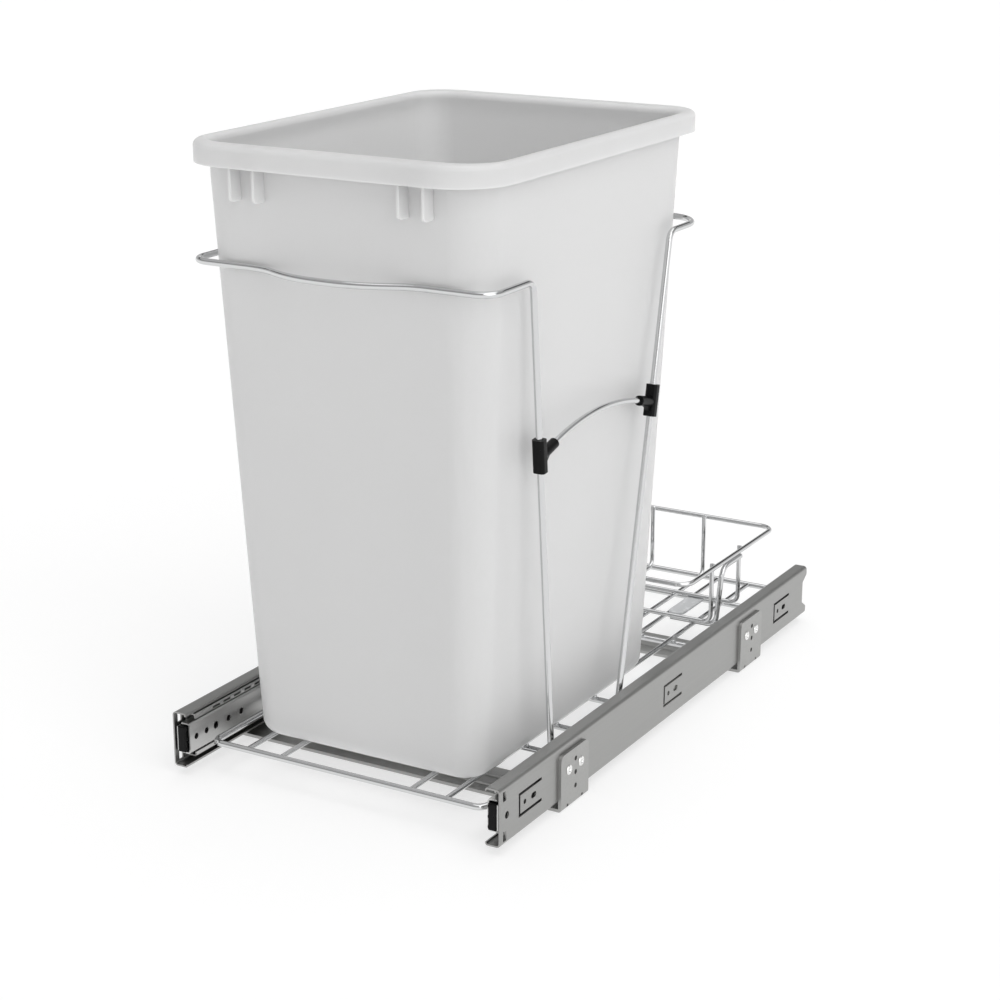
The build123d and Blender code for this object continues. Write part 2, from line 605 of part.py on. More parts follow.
# the uprights stand just inside the ring
upright_inset = (RING_WIRE + BASKET_WIRE) / 2 + 0.1
cross_x = RING_HALF_WIDTH - upright_inset
cross_z = BASKET_LONG_Z + BASKET_WIRE + 0.1
cross_runs = [
    bent_wire(
        [(-cross_x, y, BASKET_TOP_Z), (-cross_x, y, cross_z),
         (cross_x, y, cross_z), (cross_x, y, BASKET_TOP_Z)],
        BASKET_BEND, BASKET_WIRE)
    for y in BASKET_CROSS_YS
]
with BuildPart() as basket_cross_wires:
    add(cross_runs)
save(basket_cross_wires, "basket_cross_wires")

long_front_y = RING_FRONT_Y + upright_inset
long_rear_y = RING_REAR_Y - upright_inset
long_runs = [
    bent_wire(
        [(x, long_front_y, BASKET_TOP_Z), (x, long_front_y, BASKET_LONG_Z),
         (x, long_rear_y, BASKET_LONG_Z), (x, long_rear_y, BASKET_TOP_Z)],
        BASKET_BEND, BASKET_WIRE)
    for x in BASKET_LONG_XS
]
with BuildPart() as basket_long_wires:
    add(long_runs)
save(basket_long_wires, "basket_long_wires")

hanger_run = bent_wire(HANGER_RUN, HANGER_BEND, HANGER_WIRE)
with BuildPart() as basket_hanger:
    add(hanger_run)
save_pair(basket_hanger, "basket_hanger")

with BuildPart() as catch_plate:
    with BuildSketch(Plane.XY.offset(PLATE_BOTTOM_Z)):
        with Locations(PLATE_CENTRE):
            SlotOverall(*PLATE_SIZE, rotation=90)
    extrude(amount=PLATE_THICKNESS)
    chamfer(catch_plate.faces().sort_by(Axis.Z)[-1].edges(), 0.5)
save(catch_plate, "catch_plate")


# ---------------------------------------------------------------- bin
def at_height(foot, head, z):
    """A bin size at height z, on the straight line between the foot and the head."""
    return foot + (head - foot) * (z - BIN_FLOOR_Z) / (BIN_TOP_Z - BIN_FLOOR_Z)


def rounded_outline(sketch, half_width, ends, corners):
    """Rectangle from the front Y to the rear Y, with its own corner radius at each end."""
    with Locations((0, (ends[0] + ends[1]) / 2)):
        Rectangle(2 * half_width, ends[1] - ends[0])
    fillet(sketch.vertices().group_by(Axis.Y)[0], corners[0])
    fillet(sketch.vertices().group_by(Axis.Y)[-1], corners[1])


def body_outline(sketch, z, inset):
    """Outline of the bin's body at height z."""
    half_width = at_height(BIN_FOOT_HALF_WIDTH, BIN_HEAD_HALF_WIDTH, z) - inset
    front_y = at_height(BIN_FOOT_FRONT_Y, BIN_HEAD_FRONT_Y, z) + inset
    rear_y = at_height(BIN_FOOT_REAR_Y, BIN_HEAD_REAR_Y, z) - inset
    corners = [at_height(BIN_FOOT_CORNERS[i], BIN_HEAD_CORNERS[i], z) - inset for i in (0, 1)]
    rounded_outline(sketch, half_width, (front_y, rear_y), corners)


def rim_outline(sketch, inset):
    """Outline of the rim."""
    ends = (RIM_FRONT_Y + inset, RIM_REAR_Y - inset)
    rounded_outline(sketch, RIM_HALF_WIDTH - inset, ends, [corner - inset for corner in RIM_CORNERS])


with BuildPart() as bin_hollow:
    for z in (BIN_FLOOR_Z + BIN_FLOOR, BIN_TOP_Z):
        with BuildSketch(Plane.XY.offset(z)) as hollow_section:
            body_outline(hollow_section, z, BIN_WALL)
    loft()
    fillet(bin_hollow.faces().sort_by(Axis.Z)[0].edges(), BIN_FOOT_ROUND - BIN_WALL)

with BuildPart() as waste_bin:
    # rim: a cap with a skirt that hangs clear of the body
    with BuildSketch(Plane.XY.offset(BIN_TOP_Z - RIM_HEIGHT)) as rim_section:
        rim_outline(rim_section, 0)
    extrude(amount=RIM_HEIGHT)
    fillet(waste_bin.faces().sort_by(Axis.Z)[-1].edges(), RIM_ROUND)
    with BuildSketch(Plane.XY.offset(BIN_TOP_Z - RIM_HEIGHT)) as skirt_section:
        rim_outline(skirt_section, RIM_THICKNESS)
    extrude(amount=RIM_HEIGHT - RIM_THICKNESS, mode=Mode.SUBTRACT)
    # tapered body
    for z in (BIN_FLOOR_Z, BIN_TOP_Z):
        with BuildSketch(Plane.XY.offset(z)) as body_section:
            body_outline(body_section, z, 0)
    loft()
    fillet(waste_bin.faces().sort_by(Axis.Z)[0].edges(), BIN_FOOT_ROUND)
    under_land = waste_bin.faces().filter_by(Axis.Z).filter_by_position(
        Axis.Z, BIN_TOP_Z - RIM_THICKNESS - 0.1, BIN_TOP_Z - RIM_THICKNESS + 0.1)
    fillet(under_land[0].inner_wires()[0].edges(), NECK_ROUND)
    # gussets under the front of the rim
    gusset_top_z = BIN_TOP_Z - RIM_THICKNESS / 2
    for gusset_x in GUSSET_XS:
        with BuildSketch(Plane.YZ.offset(gusset_x)) as gusset:
            with Locations(((GUSSET_FRONT_Y + GUSSET_REAR_Y) / 2, (GUSSET_BOTTOM_Z + gusset_top_z) / 2)):
                Rectangle(GUSSET_REAR_Y - GUSSET_FRONT_Y, gusset_top_z - GUSSET_BOTTOM_Z)
            fillet(gusset.vertices().sort_by(Axis.X)[0:2].sort_by(Axis.Y)[0], GUSSET_CORNER)
        extrude(amount=GUSSET_THICKNESS / 2, both=True)
    # inside
    add(bin_hollow.part, mode=Mode.SUBTRACT)
    mouth = waste_bin.faces().filter_by(Axis.Z).sort_by(Axis.Z)[-1].inner_wires()[0]
    fillet(mouth.edges(), MOUTH_ROUND)
save(waste_bin, "waste_bin")
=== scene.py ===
import json
import math

import bmesh
import bpy
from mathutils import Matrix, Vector, noise


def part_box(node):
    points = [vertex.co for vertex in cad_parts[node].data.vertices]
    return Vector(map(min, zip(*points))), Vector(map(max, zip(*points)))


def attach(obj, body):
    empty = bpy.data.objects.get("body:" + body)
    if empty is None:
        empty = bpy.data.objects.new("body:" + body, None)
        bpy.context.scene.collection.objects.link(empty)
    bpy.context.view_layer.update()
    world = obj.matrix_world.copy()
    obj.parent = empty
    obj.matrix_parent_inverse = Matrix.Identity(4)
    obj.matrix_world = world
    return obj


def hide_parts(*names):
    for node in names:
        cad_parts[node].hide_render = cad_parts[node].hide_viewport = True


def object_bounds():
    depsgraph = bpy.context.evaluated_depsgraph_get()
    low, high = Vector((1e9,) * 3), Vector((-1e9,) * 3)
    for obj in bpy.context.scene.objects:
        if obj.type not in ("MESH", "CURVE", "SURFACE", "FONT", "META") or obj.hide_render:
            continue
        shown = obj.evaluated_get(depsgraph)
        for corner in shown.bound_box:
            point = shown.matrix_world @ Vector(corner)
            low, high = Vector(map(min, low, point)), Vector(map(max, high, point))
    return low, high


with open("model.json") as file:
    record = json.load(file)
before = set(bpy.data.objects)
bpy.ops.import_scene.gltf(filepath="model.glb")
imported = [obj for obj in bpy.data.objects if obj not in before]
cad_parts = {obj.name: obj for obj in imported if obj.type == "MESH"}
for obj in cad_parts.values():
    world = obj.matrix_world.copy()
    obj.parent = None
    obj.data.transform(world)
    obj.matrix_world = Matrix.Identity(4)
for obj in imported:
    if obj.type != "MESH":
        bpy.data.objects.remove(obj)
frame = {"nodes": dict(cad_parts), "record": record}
CAD_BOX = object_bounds()
MM = 0.001
SHARP_EDGE = math.radians(40)
# the surroundings, by height of the direction: 0 is level and 1 is straight up
HORIZON_BAND = (0.02, 0.16)
BELT = [(0.0, 1.0), (0.42, 1.0), (0.44, 0.06), (0.53, 0.06), (0.55, 1.0), (1.0, 1.0)]

bl_info = {
    "name": "Pull-out waste container",
    "version": (1, 0, 0),
    "blender": (4, 5, 0),
    "location": "3D View > Sidebar > Waste container",
    "description": "Finishes, rivets, welds and a plain studio for the pull-out waste container",
    "category": "Object",
}


# ---------------------------------------------------------------- shader maths
class Signal:
    """An output socket of a shader node. Arithmetic on it adds Math nodes."""

    def __init__(self, tree, socket=None):
        self.tree = tree
        self.socket = socket

    def node(self, kind, settings=None, inputs=None, output=0):
        """Adds a node of this kind: settings first, then the values or links of its sockets."""
        made = self.tree.nodes.new(kind)
        settings = dict(settings or {})
        stops = settings.pop("stops", None)
        for name, value in settings.items():
            setattr(made, name, value)
        if stops:
            ramp = made.color_ramp
            while len(ramp.elements) < len(stops):
                ramp.elements.new(1.0)
            for element, (position, shade) in zip(ramp.elements, stops):
                element.position = position
                element.color = (shade, shade, shade, 1.0)
        for name, value in (inputs or {}).items():
            if isinstance(value, Signal):
                self.tree.links.new(value.socket, made.inputs[name])
            else:
                made.inputs[name].default_value = value
        return Signal(self.tree, made.outputs[output] if made.outputs else None)

    def maths(self, operation, *values):
        return self.node("ShaderNodeMath", {"operation": operation}, dict(enumerate(values)))

    def __add__(self, other):
        return self.maths("ADD", self, other)

    __radd__ = __add__

    def __sub__(self, other):
        return self.maths("SUBTRACT", self, other)

    def __rsub__(self, other):
        return self.maths("SUBTRACT", other, self)

    def __mul__(self, other):
        return self.maths("MULTIPLY", self, other)

    __rmul__ = __mul__


def stretched(place, x, y, z):
    """Surface position in metres, scaled along each axis of the frame."""
    return place.node("ShaderNodeVectorMath", {"operation": "MULTIPLY"}, {0: place, 1: (x, y, z)})


def cloud(place, scale, detail=2.0, roughness=0.5):
    """Soft noise from 0 to 1."""
    inputs = {"Vector": place, "Scale": scale, "Detail": detail, "Roughness": roughness}
    return place.node("ShaderNodeTexNoise", {"noise_dimensions": "3D"}, inputs)


def stepped(value, low, high):
    """0 below low and 1 above high, smooth in between."""
    inputs = {"Value": value, "From Min": low, "From Max": high}
    return value.node("ShaderNodeMapRange", {"interpolation_type": "SMOOTHSTEP"}, inputs)


def tinted(factor, first, second):
    """Colour that goes from first at factor 0 to second at factor 1."""
    settings = {"data_type": "RGBA", "blend_type": "MIX", "clamp_factor": True}
    colours = {6: first if isinstance(first, Signal) else (*first, 1.0),
               7: second if isinstance(second, Signal) else (*second, 1.0)}
    return factor.node("ShaderNodeMix", settings, {0: factor, **colours}, output=2)


def shade(colour, amount):
    """A colour made lighter or darker."""
    return tuple(min(1.0, channel * amount) for channel in colour[:3])


def new_finish(name):
    """An empty node material and a signal that holds the surface position in metres."""
    material = bpy.data.materials.new(name)
    material.use_nodes = True
    material.node_tree.nodes.clear()
    place = Signal(material.node_tree).node("ShaderNodeTexCoord", output="Object")
    return material, place


def close_finish(place, colour, roughness, height, depth, **fixed):
    """Joins colour, roughness and relief to one surface shader. Depth is in metres."""
    bump = place.node("ShaderNodeBump", None, {"Height": height, "Distance": depth, "Strength": 1.0})
    inputs = {"Base Color": colour, "Roughness": roughness, "Normal": bump}
    inputs.update({name.replace("_", " "): value for name, value in fixed.items()})
    surface = place.node("ShaderNodeBsdfPrincipled", None, inputs)
    place.node("ShaderNodeOutputMaterial", None, {"Surface": surface})


# ---------------------------------------------------------------- finishes
def bin_plastic(look):
    """Moulded polypropylene: fine grain, slow flow marks and a few dull scuffs."""
    material, place = new_finish("bin_plastic")
    grain = cloud(place, 1 / look.grain, 2.0)
    flow = cloud(stretched(place, 1.0, 1.0, 0.25), 14.0, 3.0)
    scuffs = stepped(cloud(stretched(place, 1.0, 1.0, 6.0), 60.0, 4.0, 0.7), 0.66, 0.80)
    colour = tinted(flow, shade(look.colour, 0.985), shade(look.colour, 1.01))
    colour = tinted(scuffs * 0.25, colour, shade(look.colour, 0.95))
    roughness = look.roughness + (flow - 0.5) * 0.10 + scuffs * 0.08
    height = grain * 0.7 + cloud(place, 55.0, 1.0) * 2.0
    fixed = {"Specular_IOR_Level": 0.45, "Subsurface_Weight": look.translucency,
             "Subsurface_Radius": (1.0, 1.0, 1.0), "Subsurface_Scale": look.light_depth}
    close_finish(place, colour, roughness, height, look.grain_depth, **fixed)
    return material


def chrome_wire(look):
    """Bright chrome plate on drawn wire: nearly a mirror, with faint ripples and finger marks."""
    material, place = new_finish("chrome_wire")
    marks = stepped(cloud(place, 45.0, 4.0, 0.6), 0.50, 0.72)
    haze = cloud(place, 9.0, 2.0)
    colour = tinted(haze, shade(look.colour, 0.96), shade(look.colour, 1.01))
    roughness = look.roughness + marks * 0.06 + haze * 0.02
    ripple = cloud(place, 260.0, 2.0) + cloud(place, 1400.0, 1.0) * 0.2
    close_finish(place, colour, roughness, ripple, 0.02 * MM, Metallic=1.0)
    return material


def rolled_steel(name, colour, roughness, grain_axis, spangle):
    """Zinc plated sheet: rolling lines along one axis, cloudy plating and dull flecks."""
    material, place = new_finish(name)
    stretch = [1.0, 1.0, 1.0]
    stretch[grain_axis] = 0.012
    lines = cloud(stretched(place, *stretch), 2400.0, 3.0, 0.6)
    wide_lines = cloud(stretched(place, *stretch), 500.0, 2.0)
    clouding = cloud(place, 24.0, 4.0, 0.6)
    cells = place.node("ShaderNodeTexVoronoi", {"feature": "F1"}, {"Vector": place, "Scale": 700.0},
                       output="Color")
    crystals = cells.node("ShaderNodeSeparateColor", None, {0: cells}) * spangle
    flecks = stepped(cloud(place, 900.0, 2.0, 0.7), 0.64, 0.74)
    tone = lines * 0.45 + wide_lines * 0.25 + clouding * 0.30
    base = tinted(tone, shade(colour, 0.86), shade(colour, 1.12))
    base = tinted(flecks * 0.35, base, shade(colour, 0.70))
    grey = roughness + (lines - 0.5) * 0.16 + (clouding - 0.5) * 0.12 + crystals * 0.10 + flecks * 0.10
    close_finish(place, base, grey, lines + wide_lines * 0.6, 0.008 * MM, Metallic=1.0)
    return material


def bright_steel(name, colour, roughness):
    """Polished steel under a thin film of oil."""
    material, place = new_finish(name)
    film = stepped(cloud(place, 120.0, 3.0), 0.40, 0.66)
    base = tinted(film, colour[:3], shade(colour, 0.88))
    close_finish(place, base, roughness + film * 0.10, cloud(place, 900.0, 2.0), 0.006 * MM, Metallic=1.0)
    return material


def moulded_plastic(name, colour, roughness, grain, shine=0.5):
    """Small moulded part: spark-eroded grain and rubbed patches."""
    material, place = new_finish(name)
    texture = cloud(place, 1 / grain, 3.0, 0.6)
    rubbed = stepped(cloud(place, 150.0, 3.0), 0.52, 0.70)
    base = tinted(texture * 0.5 + rubbed * 0.5, shade(colour, 0.85), shade(colour, 1.35))
    dullness = roughness - rubbed * 0.10 + (texture - 0.5) * 0.12
    close_finish(place, base, dullness, texture, 0.02 * MM, Specular_IOR_Level=shine)
    return material


# ---------------------------------------------------------------- mesh helpers
def paint(material, *nodes):
    """Gives one finish to CAD nodes."""
    for name in nodes:
        mesh = frame["nodes"][name].data
        mesh.materials.clear()
        mesh.materials.append(material)


def solids(node):
    """Lowest and highest corner of each separate solid of a CAD node, in a fixed order."""
    work = bmesh.new()
    work.from_mesh(frame["nodes"][node].data)
    bmesh.ops.remove_doubles(work, verts=work.verts, dist=0.001 * MM)
    left = set(work.verts)
    found = []
    for start in work.verts:
        if start not in left:
            continue
        left.discard(start)
        group, queue = [start], [start]
        while queue:
            for edge in queue.pop().link_edges:
                for vert in edge.verts:
                    if vert in left:
                        left.discard(vert)
                        group.append(vert)
                        queue.append(vert)
        low = Vector([min(v.co[i] for v in group) for i in range(3)])
        high = Vector([max(v.co[i] for v in group) for i in range(3)])
        found.append((low, high))
    work.free()
    return sorted(found, key=lambda pair: [round(c, 5) for c in (*pair[0], *pair[1])])


def middle(pair):
    return (pair[0] + pair[1]) / 2


def finished_piece(work, name, material, body):
    """Turns a bmesh into a smooth-shaded piece that rides on a body."""
    mesh = bpy.data.meshes.new(name)
    bmesh.ops.recalc_face_normals(work, faces=work.faces)
    work.to_mesh(mesh)
    work.free()
    mesh.materials.append(material)
    mesh.shade_smooth()
    mesh.set_sharp_from_angle(angle=SHARP_EDGE)
    piece = bpy.data.objects.new(name, mesh)
    bpy.context.scene.collection.objects.link(piece)
    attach(piece, body)
    return piece


def turned(work, profile, centre, direction, segments=36):
    """Adds a turned form: profile is (radius, distance along direction) from one end to the other."""
    turn = Vector((0, 0, 1)).rotation_difference(direction).to_matrix()
    rings = []
    for radius, offset in profile:
        if radius < 1e-9:
            rings.append([work.verts.new(centre + direction * offset)])
            continue
        ring = []
        for step in range(segments):
            angle = 2 * math.pi * step / segments
            spoke = turn @ Vector((math.cos(angle), math.sin(angle), 0))
            ring.append(work.verts.new(centre + direction * offset + spoke * radius))
        rings.append(ring)
    for first, second in zip(rings, rings[1:]):
        for step in range(segments):
            after = (step + 1) % segments
            corners = []
            for vert in (first[step % len(first)], first[after % len(first)],
                         second[after % len(second)], second[step % len(second)]):
                if vert not in corners:
                    corners.append(vert)
            work.faces.new(corners)


def weld(work, centre, radii):
    """Adds a resistance weld: a lens with an uneven squeezed-out edge."""
    made = bmesh.ops.create_icosphere(work, subdivisions=3, radius=1.0)["verts"]
    for vert in made:
        swell = 1.0 + 0.16 * noise.noise(vert.co * 2.2 + centre * 900.0)
        flat = 1.0 - 0.18 * (1.0 - abs(vert.co.z))
        lens = Vector((vert.co.x * radii[0], vert.co.y * radii[1], vert.co.z * radii[2] * flat))
        vert.co = centre + lens * swell


# ---------------------------------------------------------------- settings
class BinLook(bpy.types.PropertyGroup):
    """Look of the bin."""

    colour: bpy.props.FloatVectorProperty(
        name="Colour", description="Colour of the bin's plastic", subtype="COLOR", size=3,
        min=0.0, max=1.0, default=(0.67, 0.67, 0.67))
    roughness: bpy.props.FloatProperty(
        name="Roughness", description="How dull the plastic is", subtype="FACTOR", min=0.0, max=1.0, default=0.42)
    translucency: bpy.props.FloatProperty(
        name="Translucency", description="How much light passes into the plastic", subtype="FACTOR",
        min=0.0, max=1.0, default=1.0)
    light_depth: bpy.props.FloatProperty(
        name="Light depth", description="How far light travels inside the plastic", unit="LENGTH", precision=5,
        default=7.0 * MM)
    grain: bpy.props.FloatProperty(
        name="Grain", description="Size of the moulded grain", unit="LENGTH", precision=5, default=0.5 * MM)
    grain_depth: bpy.props.FloatProperty(
        name="Grain depth", description="Depth of the moulded grain", unit="LENGTH", precision=6,
        default=0.02 * MM)


class WireLook(bpy.types.PropertyGroup):
    """Look of the wires and size of their welds."""

    colour: bpy.props.FloatVectorProperty(
        name="Colour", description="Colour of the chrome plate", subtype="COLOR", size=3,
        min=0.0, max=1.0, default=(0.66, 0.665, 0.67))
    roughness: bpy.props.FloatProperty(
        name="Roughness", description="How dull the chrome plate is", subtype="FACTOR", min=0.0, max=1.0,
        default=0.05)
    weld_width: bpy.props.FloatProperty(
        name="Weld width", description="Width of a weld between two wires", unit="LENGTH", precision=5,
        default=4.2 * MM)
    weld_height: bpy.props.FloatProperty(
        name="Weld height", description="Height of a weld between two wires", unit="LENGTH", precision=5,
        default=2.6 * MM)


class SteelLook(bpy.types.PropertyGroup):
    """Look of the slides, brackets and rivets."""

    rail_colour: bpy.props.FloatVectorProperty(
        name="Rail colour", description="Colour of the slides' zinc plate", subtype="COLOR", size=3,
        min=0.0, max=1.0, default=(0.36, 0.36, 0.353))
    # Painted light: the middle and inner rails get a lighter copy of the outer rails' zinc, standing in for the
    # light they lose in the shade of the bin and basket.
    telescope_painted_light_colour: bpy.props.FloatVectorProperty(
        name="Telescope colour", description="Colour of the middle and inner rails' zinc plate", subtype="COLOR",
        size=3, min=0.0, max=1.0, default=(0.57, 0.57, 0.562))
    rail_roughness: bpy.props.FloatProperty(
        name="Rail roughness", description="How dull the slides are", subtype="FACTOR", min=0.0, max=1.0,
        default=0.34)
    bracket_colour: bpy.props.FloatVectorProperty(
        name="Bracket colour", description="Colour of the floor brackets", subtype="COLOR", size=3,
        min=0.0, max=1.0, default=(0.42, 0.42, 0.412))
    bracket_roughness: bpy.props.FloatProperty(
        name="Bracket roughness", description="How dull the brackets are", subtype="FACTOR", min=0.0, max=1.0,
        default=0.38)
    swage_radius: bpy.props.FloatProperty(
        name="Swage radius", description="Radius of the hollow in a rivet's head", unit="LENGTH", precision=5,
        default=1.5 * MM)


class PlasticLook(bpy.types.PropertyGroup):
    """Look of the small moulded parts."""

    clip_colour: bpy.props.FloatVectorProperty(
        name="Clip colour", description="Colour of the clips and bumpers", subtype="COLOR", size=3,
        min=0.0, max=1.0, default=(0.003, 0.003, 0.0033))
    plate_colour: bpy.props.FloatVectorProperty(
        name="Plate colour", description="Colour of the plate under the basket", subtype="COLOR", size=3,
        min=0.0, max=1.0, default=(0.62, 0.63, 0.64))
    grain: bpy.props.FloatProperty(
        name="Grain", description="Size of the moulded grain", unit="LENGTH", precision=5, default=0.35 * MM)


class StageSettings(bpy.types.PropertyGroup):
    """Floor, light and camera."""

    floor_colour: bpy.props.FloatVectorProperty(
        name="Floor colour", description="Colour of the floor", subtype="COLOR", size=3,
        min=0.0, max=1.0, default=(0.45, 0.45, 0.45))
    floor_glow: bpy.props.FloatProperty(
        name="Floor glow", description="Light given off by the floor, which keeps it white", min=0.0, default=0.58)
    floor_radius: bpy.props.FloatProperty(
        name="Floor radius", description="Radius of the floor", unit="LENGTH", default=40.0)
    key_strength: bpy.props.FloatProperty(
        name="Key light", description="Strength of the soft light from the right and front", default=1.05)
    top_strength: bpy.props.FloatProperty(
        name="Top light", description="Strength of the soft light overhead", default=0.85)
    sky_strength: bpy.props.FloatProperty(
        name="Surroundings", description="Brightness of the surroundings", default=0.55)
    horizon_strength: bpy.props.FloatProperty(
        name="Horizon", description="Brightness just above the floor's edge, which hides the edge", default=1.05)
    target: bpy.props.FloatVectorProperty(
        name="Target", description="Point that the camera looks at", subtype="TRANSLATION", size=3,
        default=(-0.0122, -0.0070, 0.1686))
    azimuth: bpy.props.FloatProperty(
        name="Azimuth", description="Direction of the camera round the part", subtype="ANGLE",
        default=math.radians(30.02))
    elevation: bpy.props.FloatProperty(
        name="Elevation", description="Height of the camera above the horizon", subtype="ANGLE",
        default=math.radians(17.455))
    distance: bpy.props.FloatProperty(
        name="Distance", description="Distance from the target to the camera", unit="LENGTH", default=1.8565)
    focal_length: bpy.props.FloatProperty(
        name="Focal length", description="Focal length of the lens", unit="CAMERA", default=81.09)


class WasteContainerSettings(bpy.types.PropertyGroup):
    """All settings of the waste container."""

    bin: bpy.props.PointerProperty(type=BinLook, name="Bin", description="Look of the bin")
    wires: bpy.props.PointerProperty(type=WireLook, name="Wires", description="Look of the wires")
    steel: bpy.props.PointerProperty(type=SteelLook, name="Steel", description="Look of slides and brackets")
    plastic: bpy.props.PointerProperty(type=PlasticLook, name="Plastic", description="Look of small mouldings")
    stage: bpy.props.PointerProperty(type=StageSettings, name="Stage", description="Floor, light and camera")


# ---------------------------------------------------------------- operators
class WASTE_OT_bin(bpy.types.Operator):
    """Finish the bin in moulded plastic"""

    bl_idname = "waste.bin"
    bl_label = "Bin"

    def execute(self, context):
        paint(bin_plastic(context.scene.waste_container.bin), "waste_bin")
        return {"FINISHED"}


class WASTE_OT_wires(bpy.types.Operator):
    """Finish every wire of the carriage and the basket in chrome"""

    bl_idname = "waste.wires"
    bl_label = "Chrome wires"

    def execute(self, context):
        paint(chrome_wire(context.scene.waste_container.wires), *nodes_of("chrome_wire"))
        return {"FINISHED"}


class WASTE_OT_welds(bpy.types.Operator):
    """Build the resistance welds where the wires touch"""

    bl_idname = "waste.welds"
    bl_label = "Welds"

    def execute(self, context):
        look = context.scene.waste_container.wires
        chrome = bpy.data.materials["chrome_wire"]
        half = look.weld_width / 2
        tall = look.weld_height / 2
        bars = solids("base_cross_bars")
        floor_wires = solids("base_floor_wires")
        low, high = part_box("base_frame_wire")
        wire = high.z - low.z
        sides = (low.x + wire / 2, high.x - wire / 2)

        work = bmesh.new()
        for bar in bars:
            y = middle(bar).y
            for run in floor_wires:
                weld(work, Vector((middle(run).x, y, (bar[1].z + run[0].z) / 2)), (half, half, tall))
            for x in sides:
                weld(work, Vector((x, y, (bar[1].z + low.z) / 2)), (half, half, tall))
        for run in floor_wires:
            for y in (run[0].y, run[1].y):
                weld(work, Vector((middle(run).x, y, middle(run).z)), (half * 0.9, tall, half * 0.8))
        finished_piece(work, "base_welds", chrome, "carriage")

        work = bmesh.new()
        crossings = solids("basket_cross_wires")
        long_runs = solids("basket_long_wires")
        ring_low, ring_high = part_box("basket_ring")
        ring_wire = ring_high.z - ring_low.z
        ring_level = middle((ring_low, ring_high)).z
        for run in long_runs:
            basket_wire = run[1].x - run[0].x
            for cross in crossings:
                level = (cross[0].z + run[0].z + basket_wire) / 2
                weld(work, Vector((middle(run).x, middle(cross).y, level)), (half * 0.8, half * 0.8, tall * 0.8))
            for y in (ring_low.y + ring_wire, ring_high.y - ring_wire):
                weld(work, Vector((middle(run).x, y, ring_level)), (half * 0.8, tall * 0.7, half))
        for cross in crossings:
            for x in (ring_low.x + ring_wire, ring_high.x - ring_wire):
                weld(work, Vector((x, middle(cross).y, ring_level)), (tall * 0.7, half * 0.8, half))
        finished_piece(work, "basket_welds", chrome, "carriage")
        return {"FINISHED"}


class WASTE_OT_slides(bpy.types.Operator):
    """Finish the slides, their cages and their balls"""

    bl_idname = "waste.slides"
    bl_label = "Slides"

    def execute(self, context):
        look = context.scene.waste_container.steel
        rails = nodes_of("rail_steel")
        outer = rolled_steel("rail_steel", look.rail_colour, look.rail_roughness, 1, 0.0)
        paint(outer, *[name for name in rails if name.startswith("outer")])
        # Same zinc as the outer rails, made lighter as painted light for the middle and inner rails, which lie in
        # shade.
        telescope_painted_light = rolled_steel("telescope_steel_painted_light", look.telescope_painted_light_colour, look.rail_roughness, 1, 0.0)
        paint(telescope_painted_light, *[name for name in rails if not name.startswith("outer")])
        cage = bright_steel("cage_steel", (0.60, 0.60, 0.58), 0.22)
        paint(cage, *nodes_of("cage_steel"))
        ball = bright_steel("ball_steel", (0.76, 0.76, 0.77), 0.06)
        paint(ball, *nodes_of("ball_steel"))
        return {"FINISHED"}


class WASTE_OT_brackets(bpy.types.Operator):
    """Finish the floor brackets"""

    bl_idname = "waste.brackets"
    bl_label = "Floor brackets"

    def execute(self, context):
        look = context.scene.waste_container.steel
        steel = rolled_steel("bracket_steel", look.bracket_colour, look.bracket_roughness, 0, 1.0)
        paint(steel, "floor_bracket_front", "floor_bracket_rear")
        return {"FINISHED"}


class WASTE_OT_rivets(bpy.types.Operator):
    """Build the swaged rivets that hold the outer rails to the brackets"""

    bl_idname = "waste.rivets"
    bl_label = "Rivets"

    def execute(self, context):
        look = context.scene.waste_container.steel
        bright = bright_steel("rivet_steel", (0.88, 0.88, 0.87), 0.16)
        work = bmesh.new()
        for low, high in solids("bracket_rivets"):
            centre = middle((low, high))
            outward = Vector((1 if centre.x > 0 else -1, 0, 0))
            length = high.x - low.x
            head = (high.z - low.z) / 2
            start = centre - outward * (length / 2)
            shank = head - 1.0 * MM
            face = length - 0.95 * MM
            swage = look.swage_radius
            profile = [
                (0.0, 0.0), (shank - 0.3 * MM, 0.0), (shank, 0.3 * MM), (shank, face),
                (head - 0.15 * MM, face), (head, face + 0.2 * MM), (head - 0.25 * MM, face + 0.6 * MM),
                (head - 0.8 * MM, length - 0.02 * MM), (swage + 0.45 * MM, length),
                (swage, length - 0.25 * MM), (swage - 0.3 * MM, face + 0.15 * MM), (0.0, face),
            ]
            turned(work, profile, start, outward)
        piece = finished_piece(work, "swaged_rivets", bright, "cabinet_mount")
        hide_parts("bracket_rivets")
        return {"FINISHED"}


class WASTE_OT_mouldings(bpy.types.Operator):
    """Finish the clips, bumpers, stops and the plate under the basket"""

    bl_idname = "waste.mouldings"
    bl_label = "Small mouldings"

    def execute(self, context):
        look = context.scene.waste_container.plastic
        black = moulded_plastic("black_plastic", look.clip_colour, 0.36, look.grain, 0.14)
        paint(black, *nodes_of("black_plastic"))
        paint(moulded_plastic("stop_rubber", shade(look.clip_colour, 1.3), 0.72, look.grain), "rear_stops")
        paint(moulded_plastic("plate_plastic", look.plate_colour, 0.48, look.grain), "catch_plate")
        return {"FINISHED"}


class WASTE_OT_stage(bpy.types.Operator):
    """Lay the pale floor and set the soft studio light and the camera"""

    bl_idname = "waste.stage"
    bl_label = "Stage"

    def execute(self, context):
        settings = context.scene.waste_container.stage
        lay_floor(settings)
        light_surroundings(settings)
        soft_light("key_light", (0.76, -0.39, 0.53), settings.key_strength, 60)
        soft_light("top_light", (0.05, 0.10, 1.0), settings.top_strength, 60)
        place_camera(settings)
        context.scene.view_settings.view_transform = "Standard"
        return {"FINISHED"}


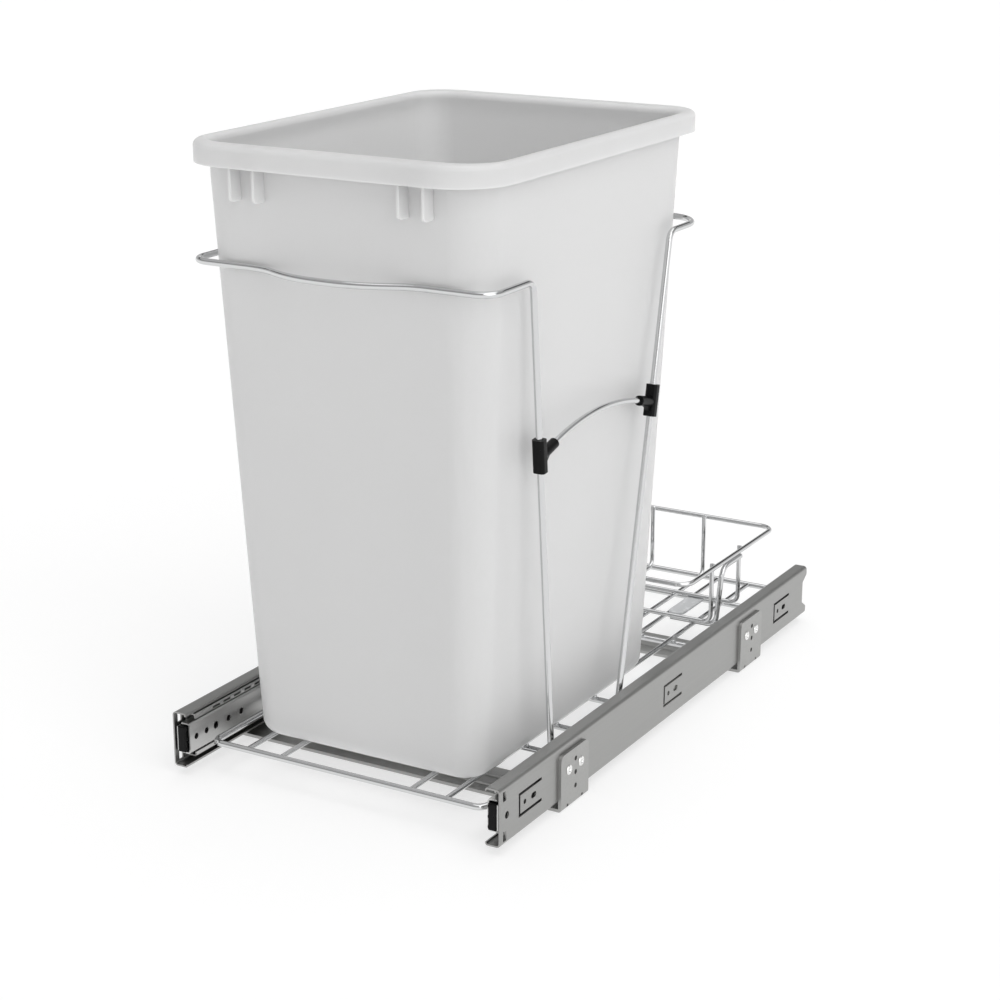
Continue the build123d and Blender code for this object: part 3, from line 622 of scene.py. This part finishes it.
def nodes_of(slot):
    """Names of the CAD nodes that the record gives this material slot, in the frame's order."""
    chosen = {row["node"] for row in frame["record"]["subparts"] if row["material_slot"] == slot}
    return [name for name in frame["nodes"] if name in chosen]


def lay_floor(settings):
    """Round floor just under the part, with a faint unevenness in its finish."""
    material, place = new_finish("studio_floor")
    patches = cloud(place, 1.5, 2.0)
    colour = tinted(patches, shade(settings.floor_colour, 0.99), shade(settings.floor_colour, 1.0))
    glow = {"Emission_Color": (1.0, 1.0, 1.0, 1.0), "Emission_Strength": settings.floor_glow}
    close_finish(place, colour, 0.75 + patches * 0.1, cloud(place, 300.0, 2.0), 0.02 * MM, **glow)
    work = bmesh.new()
    turned(work, [(0.0, 0.0), (settings.floor_radius, 0.0)], Vector((0, 0, CAD_BOX[0].z)), Vector((0, 0, 1)), 64)
    mesh = bpy.data.meshes.new("studio_floor")
    work.to_mesh(mesh)
    work.free()
    mesh.materials.append(material)
    floor = bpy.data.objects.new("studio_floor", mesh)
    bpy.context.scene.collection.objects.link(floor)


def light_surroundings(settings):
    """Pale surroundings, white at the horizon, with a dark belt higher up that gives the chrome its dark lines."""
    world = bpy.data.worlds.new("studio")
    world.use_nodes = True
    world.node_tree.nodes.clear()
    start = Signal(world.node_tree)
    direction = start.node("ShaderNodeTexCoord", output="Generated")
    height = direction.node("ShaderNodeSeparateXYZ", None, {0: direction}, output="Z")
    belt = height.node("ShaderNodeValToRGB", {"stops": BELT}, {0: height})
    above = stepped(height, *HORIZON_BAND)
    strength = above * (settings.sky_strength - settings.horizon_strength) + settings.horizon_strength
    glow = belt.node("ShaderNodeBackground", None, {"Color": belt, "Strength": strength})
    glow.node("ShaderNodeOutputWorld", None, {"Surface": glow})
    bpy.context.scene.world = world


def soft_light(name, direction, strength, spread):
    """Even light from one direction, soft over this spread in degrees."""
    light = bpy.data.lights.new(name, "SUN")
    light.energy = strength
    light.angle = math.radians(spread)
    lamp = bpy.data.objects.new(name, light)
    lamp.location = direction
    lamp.rotation_euler = (-Vector(direction)).to_track_quat("-Z", "Y").to_euler()
    bpy.context.scene.collection.objects.link(lamp)


def place_camera(settings):
    """Camera at its azimuth and elevation round the target."""
    turn, rise = settings.azimuth, settings.elevation
    back = Vector((math.sin(turn) * math.cos(rise), -math.cos(turn) * math.cos(rise), math.sin(rise)))
    lens = bpy.data.cameras.new("camera")
    lens.lens = settings.focal_length
    lens.clip_start = 0.05
    lens.clip_end = 200.0
    camera = bpy.data.objects.new("camera", lens)
    camera.location = Vector(settings.target) + back * settings.distance
    camera.rotation_euler = (-back).to_track_quat("-Z", "Y").to_euler()
    bpy.context.scene.collection.objects.link(camera)
    bpy.context.scene.camera = camera


# ---------------------------------------------------------------- panel and registration
STEPS = (WASTE_OT_bin, WASTE_OT_wires, WASTE_OT_welds, WASTE_OT_slides, WASTE_OT_brackets, WASTE_OT_rivets,
         WASTE_OT_mouldings, WASTE_OT_stage)


class WASTE_PT_panel(bpy.types.Panel):
    """Settings and steps of the waste container."""

    bl_label = "Waste container"
    bl_idname = "WASTE_PT_panel"
    bl_space_type = "VIEW_3D"
    bl_region_type = "UI"
    bl_category = "Waste container"

    def draw(self, context):
        settings = context.scene.waste_container
        for group in (settings.bin, settings.wires, settings.steel, settings.plastic, settings.stage):
            box = self.layout.box()
            for name in group.__annotations__:
                box.prop(group, name)
        for step in STEPS:
            self.layout.operator(step.bl_idname)


CLASSES = (BinLook, WireLook, SteelLook, PlasticLook, StageSettings, WasteContainerSettings, *STEPS,
           WASTE_PT_panel)


def register():
    for item in CLASSES:
        bpy.utils.register_class(item)
    bpy.types.Scene.waste_container = bpy.props.PointerProperty(type=WasteContainerSettings)


def unregister():
    del bpy.types.Scene.waste_container
    for item in reversed(CLASSES):
        bpy.utils.unregister_class(item)


def main():
    register()
    for step in STEPS:
        area, name = step.bl_idname.split(".")
        getattr(getattr(bpy.ops, area), name)()


if __name__ == "__main__":
    main()
